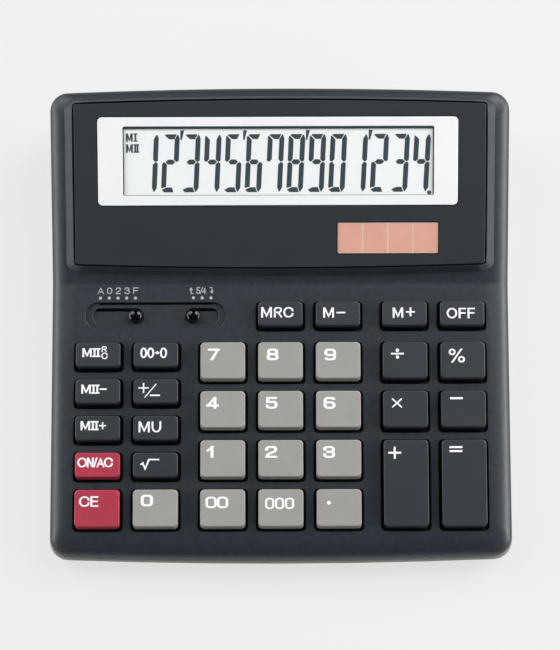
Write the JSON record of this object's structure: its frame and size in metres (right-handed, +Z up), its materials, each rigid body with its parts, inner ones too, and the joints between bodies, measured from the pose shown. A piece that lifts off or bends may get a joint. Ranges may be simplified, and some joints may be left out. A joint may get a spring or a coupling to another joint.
{
  "type": "desktop calculator",
  "caption": "Wedge-shaped solar desktop calculator with a tilted display hood, grouped press keys, two slide switches and a coin cell door.",
  "frame": {"origin": "on the table under the middle of the case, at the soles of the feet", "axes": "+Z up, +Y from the keys to the display, +X to the right for someone reading the display"},
  "size_m": [0.1536, 0.156, 0.0379],
  "materials": {
    "charcoal": "moulded charcoal plastic, fine texture",
    "panel": "printed charcoal face plate",
    "underside": "moulded grey plastic",
    "dark": "charcoal key plastic",
    "light": "warm grey key plastic",
    "red": "dull red key plastic",
    "white": "white plastic",
    "glass": "pale liquid crystal glass",
    "solar": "salmon coloured solar cell under clear resin",
    "rubber": "black rubber",
    "mat": "pale grey silicone rubber",
    "board": "green lacquered fibre board",
    "epoxy": "black epoxy",
    "sleeve": "dark blue sleeve",
    "steel": "plated steel",
    "knob": "glossy black plastic",
    "ribbon": "amber film",
    "wire_red": "red insulation",
    "wire_black": "black insulation"
  },
  "bodies": {
    "case": {"battery_contact_rim": "steel", "battery_contact_top": "steel", "capacitor": "sleeve", "case_screw_front_left": "steel", "case_screw_front_right": "steel", "case_screw_rear_left": "steel", "case_screw_rear_right": "steel", "circuit_board": "board", "coin_cell": "steel", "display_bezel": "white", "display_glass": "glass", "display_holder": "white", "display_panel": "panel", "display_ribbon": "ribbon", "foot_front_left": "rubber", "foot_front_right": "rubber", "foot_rear_left": "rubber", "foot_rear_right": "rubber", "keypad_mat": "mat", "lower_case": "underside", "processor_chip": "epoxy", "solar_cell": "solar", "solar_lead_minus": "wire_black", "solar_lead_plus": "wire_red", "upper_case": "charcoal"},
    "battery_door": {"battery_door": "underside"},
    "decimal_switch": {"decimal_switch": "knob"},
    "rounding_switch": {"rounding_switch": "knob"},
    "key_memory_recall": {"key_memory_recall": "dark"},
    "key_memory_minus": {"key_memory_minus": "dark"},
    "key_memory_plus": {"key_memory_plus": "dark"},
    "key_off": {"key_off": "dark"},
    "key_memory_two_recall": {"key_memory_two_recall": "dark"},
    "key_memory_two_minus": {"key_memory_two_minus": "dark"},
    "key_memory_two_plus": {"key_memory_two_plus": "dark"},
    "key_on_all_clear": {"key_on_all_clear": "red"},
    "key_clear_entry": {"key_clear_entry": "red"},
    "key_backspace": {"key_backspace": "dark"},
    "key_sign_change": {"key_sign_change": "dark"},
    "key_mark_up": {"key_mark_up": "dark"},
    "key_square_root": {"key_square_root": "dark"},
    "key_zero": {"key_zero": "light"},
    "key_seven": {"key_seven": "light"},
    "key_four": {"key_four": "light"},
    "key_one": {"key_one": "light"},
    "key_double_zero": {"key_double_zero": "light"},
    "key_eight": {"key_eight": "light"},
    "key_five": {"key_five": "light"},
    "key_two": {"key_two": "light"},
    "key_triple_zero": {"key_triple_zero": "light"},
    "key_nine": {"key_nine": "light"},
    "key_six": {"key_six": "light"},
    "key_three": {"key_three": "light"},
    "key_decimal_point": {"key_decimal_point": "light"},
    "key_divide": {"key_divide": "dark"},
    "key_multiply": {"key_multiply": "dark"},
    "key_add": {"key_add": "dark"},
    "key_percent": {"key_percent": "dark"},
    "key_subtract": {"key_subtract": "dark"},
    "key_equals": {"key_equals": "dark"}
  },
  "joints": [
    {"name": "battery_door_hinge", "type": "hinge", "parent": "case", "child": "battery_door", "pos_m": [0.034, -0.00924, 0.0015], "axis": [-1, 0, 0], "range_deg": [0, 60]},
    {"name": "decimal_switch_slide", "type": "slide", "parent": "case", "child": "decimal_switch", "axis": [1, 0, 0], "range_m": [-0.01168, 0]},
    {"name": "rounding_switch_slide", "type": "slide", "parent": "case", "child": "rounding_switch", "axis": [1, 0, 0], "range_m": [0, 0.00584]},
    {"name": "key_memory_recall_press", "type": "slide", "parent": "case", "child": "key_memory_recall", "axis": [0, 0.0698, -0.9976], "range_m": [0, 0.0015], "stiffness_N_per_m": 300, "springref_m": -0.0005},
    {"name": "key_memory_minus_press", "type": "slide", "parent": "case", "child": "key_memory_minus", "axis": [0, 0.0698, -0.9976], "range_m": [0, 0.0015], "stiffness_N_per_m": 300, "springref_m": -0.0005},
    {"name": "key_memory_plus_press", "type": "slide", "parent": "case", "child": "key_memory_plus", "axis": [0, 0.0698, -0.9976], "range_m": [0, 0.0015], "stiffness_N_per_m": 300, "springref_m": -0.0005},
    {"name": "key_off_press", "type": "slide", "parent": "case", "child": "key_off", "axis": [0, 0.0698, -0.9976], "range_m": [0, 0.0015], "stiffness_N_per_m": 300, "springref_m": -0.0005},
    {"name": "key_memory_two_recall_press", "type": "slide", "parent": "case", "child": "key_memory_two_recall", "axis": [0, 0.0698, -0.9976], "range_m": [0, 0.0015], "stiffness_N_per_m": 300, "springref_m": -0.0005},
    {"name": "key_memory_two_minus_press", "type": "slide", "parent": "case", "child": "key_memory_two_minus", "axis": [0, 0.0698, -0.9976], "range_m": [0, 0.0015], "stiffness_N_per_m": 300, "springref_m": -0.0005},
    {"name": "key_memory_two_plus_press", "type": "slide", "parent": "case", "child": "key_memory_two_plus", "axis": [0, 0.0698, -0.9976], "range_m": [0, 0.0015], "stiffness_N_per_m": 300, "springref_m": -0.0005},
    {"name": "key_on_all_clear_press", "type": "slide", "parent": "case", "child": "key_on_all_clear", "axis": [0, 0.0698, -0.9976], "range_m": [0, 0.0015], "stiffness_N_per_m": 300, "springref_m": -0.0005},
    {"name": "key_clear_entry_press", "type": "slide", "parent": "case", "child": "key_clear_entry", "axis": [0, 0.0698, -0.9976], "range_m": [0, 0.0015], "stiffness_N_per_m": 300, "springref_m": -0.0005},
    {"name": "key_backspace_press", "type": "slide", "parent": "case", "child": "key_backspace", "axis": [0, 0.0698, -0.9976], "range_m": [0, 0.0015], "stiffness_N_per_m": 300, "springref_m": -0.0005},
    {"name": "key_sign_change_press", "type": "slide", "parent": "case", "child": "key_sign_change", "axis": [0, 0.0698, -0.9976], "range_m": [0, 0.0015], "stiffness_N_per_m": 300, "springref_m": -0.0005},
    {"name": "key_mark_up_press", "type": "slide", "parent": "case", "child": "key_mark_up", "axis": [0, 0.0698, -0.9976], "range_m": [0, 0.0015], "stiffness_N_per_m": 300, "springref_m": -0.0005},
    {"name": "key_square_root_press", "type": "slide", "parent": "case", "child": "key_square_root", "axis": [0, 0.0698, -0.9976], "range_m": [0, 0.0015], "stiffness_N_per_m": 300, "springref_m": -0.0005},
    {"name": "key_zero_press", "type": "slide", "parent": "case", "child": "key_zero", "axis": [0, 0.0698, -0.9976], "range_m": [0, 0.0015], "stiffness_N_per_m": 300, "springref_m": -0.0005},
    {"name": "key_seven_press", "type": "slide", "parent": "case", "child": "key_seven", "axis": [0, 0.0698, -0.9976], "range_m": [0, 0.0015], "stiffness_N_per_m": 300, "springref_m": -0.0005},
    {"name": "key_four_press", "type": "slide", "parent": "case", "child": "key_four", "axis": [0, 0.0698, -0.9976], "range_m": [0, 0.0015], "stiffness_N_per_m": 300, "springref_m": -0.0005},
    {"name": "key_one_press", "type": "slide", "parent": "case", "child": "key_one", "axis": [0, 0.0698, -0.9976], "range_m": [0, 0.0015], "stiffness_N_per_m": 300, "springref_m": -0.0005},
    {"name": "key_double_zero_press", "type": "slide", "parent": "case", "child": "key_double_zero", "axis": [0, 0.0698, -0.9976], "range_m": [0, 0.0015], "stiffness_N_per_m": 300, "springref_m": -0.0005},
    {"name": "key_eight_press", "type": "slide", "parent": "case", "child": "key_eight", "axis": [0, 0.0698, -0.9976], "range_m": [0, 0.0015], "stiffness_N_per_m": 300, "springref_m": -0.0005},
    {"name": "key_five_press", "type": "slide", "parent": "case", "child": "key_five", "axis": [0, 0.0698, -0.9976], "range_m": [0, 0.0015], "stiffness_N_per_m": 300, "springref_m": -0.0005},
    {"name": "key_two_press", "type": "slide", "parent": "case", "child": "key_two", "axis": [0, 0.0698, -0.9976], "range_m": [0, 0.0015], "stiffness_N_per_m": 300, "springref_m": -0.0005},
    {"name": "key_triple_zero_press", "type": "slide", "parent": "case", "child": "key_triple_zero", "axis": [0, 0.0698, -0.9976], "range_m": [0, 0.0015], "stiffness_N_per_m": 300, "springref_m": -0.0005},
    {"name": "key_nine_press", "type": "slide", "parent": "case", "child": "key_nine", "axis": [0, 0.0698, -0.9976], "range_m": [0, 0.0015], "stiffness_N_per_m": 300, "springref_m": -0.0005},
    {"name": "key_six_press", "type": "slide", "parent": "case", "child": "key_six", "axis": [0, 0.0698, -0.9976], "range_m": [0, 0.0015], "stiffness_N_per_m": 300, "springref_m": -0.0005},
    {"name": "key_three_press", "type": "slide", "parent": "case", "child": "key_three", "axis": [0, 0.0698, -0.9976], "range_m": [0, 0.0015], "stiffness_N_per_m": 300, "springref_m": -0.0005},
    {"name": "key_decimal_point_press", "type": "slide", "parent": "case", "child": "key_decimal_point", "axis": [0, 0.0698, -0.9976], "range_m": [0, 0.0015], "stiffness_N_per_m": 300, "springref_m": -0.0005},
    {"name": "key_divide_press", "type": "slide", "parent": "case", "child": "key_divide", "axis": [0, 0.0698, -0.9976], "range_m": [0, 0.0015], "stiffness_N_per_m": 300, "springref_m": -0.0005},
    {"name": "key_multiply_press", "type": "slide", "parent": "case", "child": "key_multiply", "axis": [0, 0.0698, -0.9976], "range_m": [0, 0.0015], "stiffness_N_per_m": 300, "springref_m": -0.0005},
    {"name": "key_add_press", "type": "slide", "parent": "case", "child": "key_add", "axis": [0, 0.0698, -0.9976], "range_m": [0, 0.0015], "stiffness_N_per_m": 300, "springref_m": -0.0005},
    {"name": "key_percent_press", "type": "slide", "parent": "case", "child": "key_percent", "axis": [0, 0.0698, -0.9976], "range_m": [0, 0.0015], "stiffness_N_per_m": 300, "springref_m": -0.0005},
    {"name": "key_subtract_press", "type": "slide", "parent": "case", "child": "key_subtract", "axis": [0, 0.0698, -0.9976], "range_m": [0, 0.0015], "stiffness_N_per_m": 300, "springref_m": -0.0005},
    {"name": "key_equals_press", "type": "slide", "parent": "case", "child": "key_equals", "axis": [0, 0.0698, -0.9976], "range_m": [0, 0.0015], "stiffness_N_per_m": 300, "springref_m": -0.0005}
  ]
}
